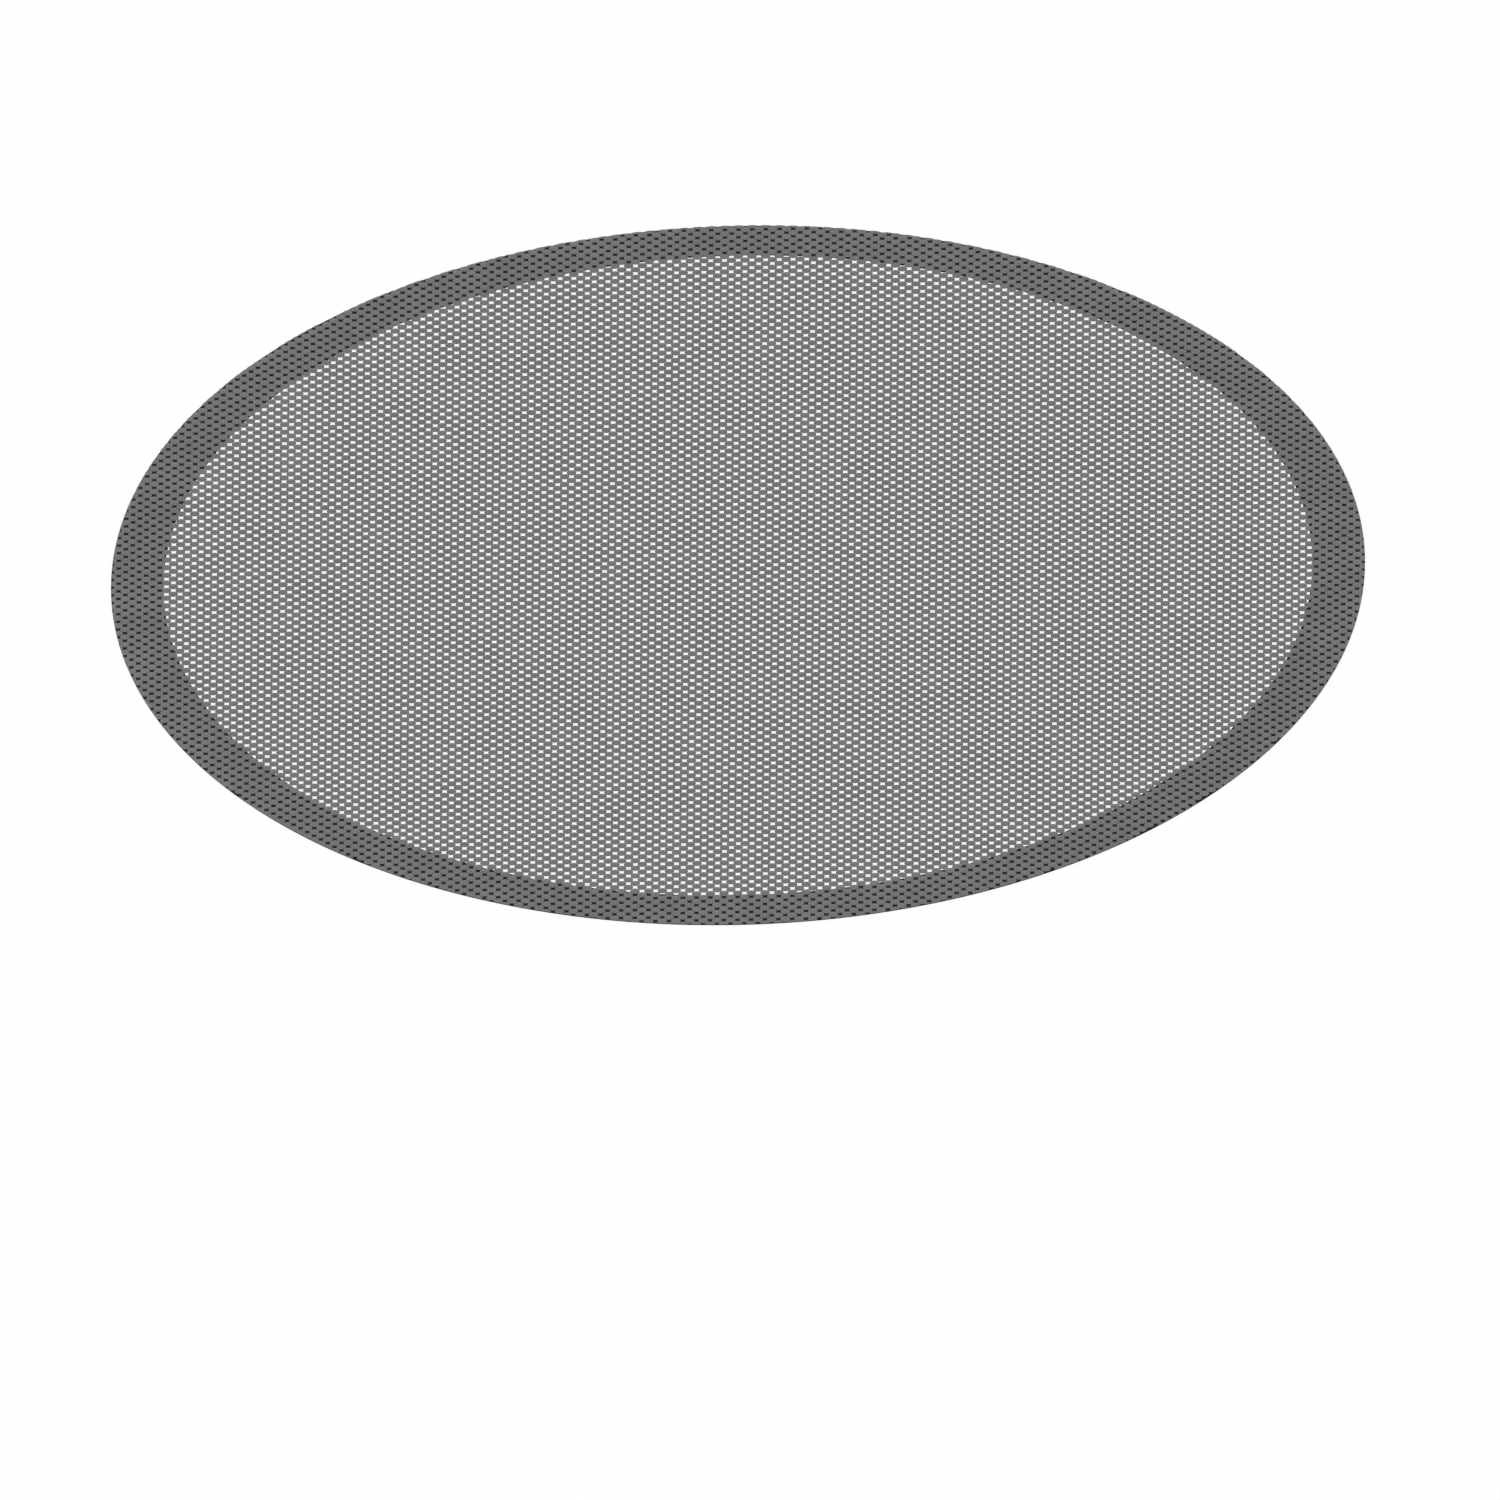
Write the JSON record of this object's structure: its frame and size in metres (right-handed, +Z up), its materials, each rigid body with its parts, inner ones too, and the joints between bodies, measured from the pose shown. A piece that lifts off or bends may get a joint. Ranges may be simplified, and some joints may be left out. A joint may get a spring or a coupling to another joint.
{
  "type": "fan dust filter",
  "caption": "Round stick-on dust filter for a fan's air inlet: a thin grey plastic mesh disc on a black ring with an adhesive film below.",
  "frame": {"origin": "middle of the underside of the adhesive ring", "axes": "+Z up along the disc's axis, away from the surface it sticks to; X and Y lie in the disc, at 45 degrees to the mesh's strands"},
  "size_m": [0.15, 0.15, 0.0004],
  "materials": {
    "mesh_plastic": "satin grey moulded mesh",
    "ring_film": "matt black film",
    "adhesive": "clear pale adhesive film"
  },
  "bodies": {
    "root": {"mesh_screen": "mesh_plastic", "border_ring": "ring_film", "adhesive_ring": "adhesive"}
  },
  "joints": []
}
